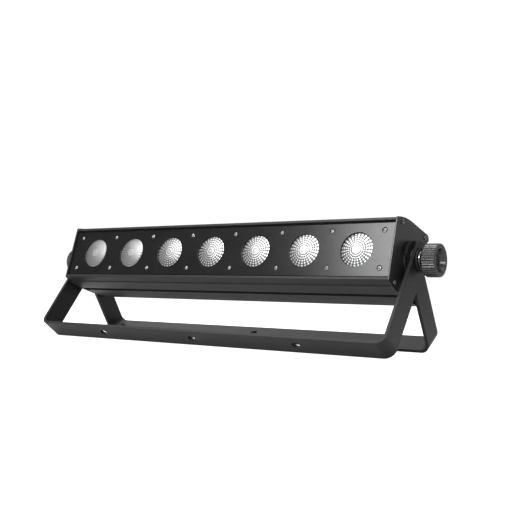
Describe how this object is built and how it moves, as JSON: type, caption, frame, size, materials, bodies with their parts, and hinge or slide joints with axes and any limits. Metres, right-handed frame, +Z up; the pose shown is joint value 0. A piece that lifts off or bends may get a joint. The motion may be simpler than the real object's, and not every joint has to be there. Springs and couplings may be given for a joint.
{
  "type": "led strip batten",
  "caption": "Long black LED stage batten with round lenses in a recessed front panel, held between two nested U brackets that double as a floor stand and clamp with a knob at each end.",
  "frame": {"origin": "on the floor, under the middle of the whole object as it stands on its two brackets", "axes": "+X along the batten, to the right when facing the lenses from behind the camera; +Z up; the lenses look towards -Y and slightly up"},
  "size_m": [0.604, 0.1608, 0.1595],
  "materials": {
    "black_extrusion": "extruded, with a satin black coat",
    "black_panel": "smooth satin black sheet",
    "black_paint": "satin black powder coat with a fine texture",
    "lens": "clear moulded lens with a faceted face",
    "screw_steel": "bright zinc plated",
    "bright_steel": "turned steel",
    "black_plastic": "moulded black plastic, satin",
    "button_rubber": "matt rubber",
    "display": "dark clear window",
    "led_board": "white solder mask on aluminium",
    "circuit_board": "green solder mask",
    "supply_can": "bare folded sheet"
  },
  "bodies": {
    "housing": {"housing_extrusion": "black_extrusion", "front_panel": "black_panel", "led_board": "led_board", "power_supply": "supply_can", "driver_board": "circuit_board", "control_plate": "black_panel", "display_window": "display", "power_in_socket": "black_plastic", "power_out_socket": "black_plastic", "dmx_in_socket": "black_plastic", "dmx_out_socket": "black_plastic", "lens_1": "lens", "lens_2": "lens", "lens_3": "lens", "lens_4": "lens", "lens_5": "lens", "lens_6": "lens", "lens_7": "lens", "panel_screw_top_1": "screw_steel", "panel_screw_top_2": "screw_steel", "panel_screw_top_3": "screw_steel", "panel_screw_top_4": "screw_steel", "panel_screw_top_5": "screw_steel", "panel_screw_top_6": "screw_steel", "panel_screw_top_7": "screw_steel", "panel_screw_top_8": "screw_steel", "panel_screw_bottom_1": "screw_steel", "panel_screw_bottom_2": "screw_steel", "panel_screw_bottom_3": "screw_steel", "panel_screw_bottom_4": "screw_steel", "panel_screw_bottom_5": "screw_steel", "panel_screw_bottom_6": "screw_steel", "panel_screw_bottom_7": "screw_steel", "panel_screw_bottom_8": "screw_steel", "end_plate_left": "black_paint", "plate_screw_left_front_top": "screw_steel", "plate_screw_left_front_bottom": "screw_steel", "plate_screw_left_rear_top": "screw_steel", "plate_screw_left_rear_bottom": "screw_steel", "fibre_washer_left": "black_plastic", "outer_washer_left": "black_plastic", "end_plate_right": "black_paint", "plate_screw_right_front_top": "screw_steel", "plate_screw_right_front_bottom": "screw_steel", "plate_screw_right_rear_top": "screw_steel", "plate_screw_right_rear_bottom": "screw_steel", "fibre_washer_right": "black_plastic", "outer_washer_right": "black_plastic"},
    "front_bracket": {"front_bracket": "black_paint"},
    "rear_bracket": {"rear_bracket": "black_paint"},
    "knob_left": {"knob_left": "black_plastic", "pivot_bolt_left": "bright_steel", "steel_washer_left": "bright_steel"},
    "knob_right": {"knob_right": "black_plastic", "pivot_bolt_right": "bright_steel", "steel_washer_right": "bright_steel"},
    "menu_button": {"menu_button": "button_rubber"},
    "down_button": {"down_button": "button_rubber"},
    "up_button": {"up_button": "button_rubber"},
    "enter_button": {"enter_button": "button_rubber"}
  },
  "joints": [
    {"name": "front_bracket_swing", "type": "hinge", "parent": "housing", "child": "front_bracket", "pos_m": [0, 0.00668, 0.11006], "axis": [1, 0, 0], "range_deg": [-145, 65]},
    {"name": "rear_bracket_swing", "type": "hinge", "parent": "housing", "child": "rear_bracket", "pos_m": [0, 0.00668, 0.11006], "axis": [1, 0, 0], "range_deg": [-65, 150]},
    {"name": "knob_left_turn", "type": "hinge", "parent": "housing", "child": "knob_left", "pos_m": [-0.29, 0.00668, 0.11006], "axis": [1, 0, 0], "continuous": true},
    {"name": "knob_right_turn", "type": "hinge", "parent": "housing", "child": "knob_right", "pos_m": [0.29, 0.00668, 0.11006], "axis": [1, 0, 0], "continuous": true},
    {"name": "menu_button_press", "type": "slide", "parent": "housing", "child": "menu_button", "axis": [0, -0.9603, 0.279], "range_m": [0, 0.001], "stiffness_N_per_m": 400, "springref_m": -0.001},
    {"name": "down_button_press", "type": "slide", "parent": "housing", "child": "down_button", "axis": [0, -0.9603, 0.279], "range_m": [0, 0.001], "stiffness_N_per_m": 400, "springref_m": -0.001},
    {"name": "up_button_press", "type": "slide", "parent": "housing", "child": "up_button", "axis": [0, -0.9603, 0.279], "range_m": [0, 0.001], "stiffness_N_per_m": 400, "springref_m": -0.001},
    {"name": "enter_button_press", "type": "slide", "parent": "housing", "child": "enter_button", "axis": [0, -0.9603, 0.279], "range_m": [0, 0.001], "stiffness_N_per_m": 400, "springref_m": -0.001}
  ]
}
